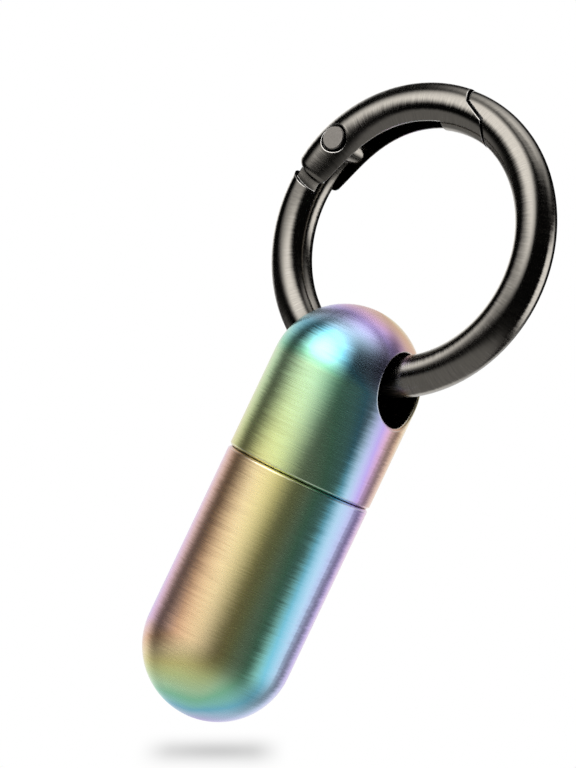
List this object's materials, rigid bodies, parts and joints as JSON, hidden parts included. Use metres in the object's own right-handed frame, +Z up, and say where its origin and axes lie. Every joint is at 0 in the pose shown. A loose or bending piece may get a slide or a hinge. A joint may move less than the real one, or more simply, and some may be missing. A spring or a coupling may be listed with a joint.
{
  "type": "pill fob keychain",
  "caption": "Metal capsule pill case that unscrews in the middle and hangs through a cross hole in its cap from a round ring with a spring gate.",
  "frame": {"origin": "centre of the ring's eye, which is where the fob is hung", "axes": "+Z up along the capsule's axis, +X along the cap's cross hole, +Y square to the ring's plane, away from the viewer of the picture"},
  "size_m": [0.038, 0.018, 0.0807],
  "materials": {
    "ring_metal": "brushed dark nickel",
    "pin_metal": "plain turned steel",
    "spring_steel": "spring wire",
    "capsule_metal": "brushed, with a rainbow colour film",
    "seal_rubber": "moulded"
  },
  "bodies": {
    "ring": {"ring_body": "ring_metal", "hinge_pin": "pin_metal", "gate_spring": "spring_steel"},
    "gate": {"ring_gate": "ring_metal"},
    "cap": {"capsule_cap": "capsule_metal"},
    "seal": {"seal_ring": "seal_rubber"},
    "tube": {"capsule_tube": "capsule_metal"}
  },
  "joints": [
    {"name": "gate_hinge", "type": "hinge", "parent": "ring", "child": "gate", "pos_m": [-0.01452, 0, 0.00708], "axis": [0, 1, 0], "range_deg": [0, 45], "stiffness_Nm_per_rad": 0.02, "springref_deg": -34.38, "deforming": ["gate_spring"]},
    {"name": "capsule_swing", "type": "hinge", "parent": "ring", "child": "cap", "pos_m": [0, 0, -0.0165], "axis": [1, 0, 0], "range_deg": [-45, 45]},
    {"name": "tube_travel", "type": "slide", "parent": "cap", "child": "seal", "axis": [0, 0, -1], "range_m": [0, 0.0075]},
    {"name": "tube_turn", "type": "hinge", "parent": "seal", "child": "tube", "pos_m": [0, 0, -0.0307], "axis": [0, 0, -1], "range_deg": [0, 2160.5]}
  ],
  "couplings": [
    {"joint": "tube_turn", "follows": "tube_travel", "rad_per_m": 5026.5}
  ]
}
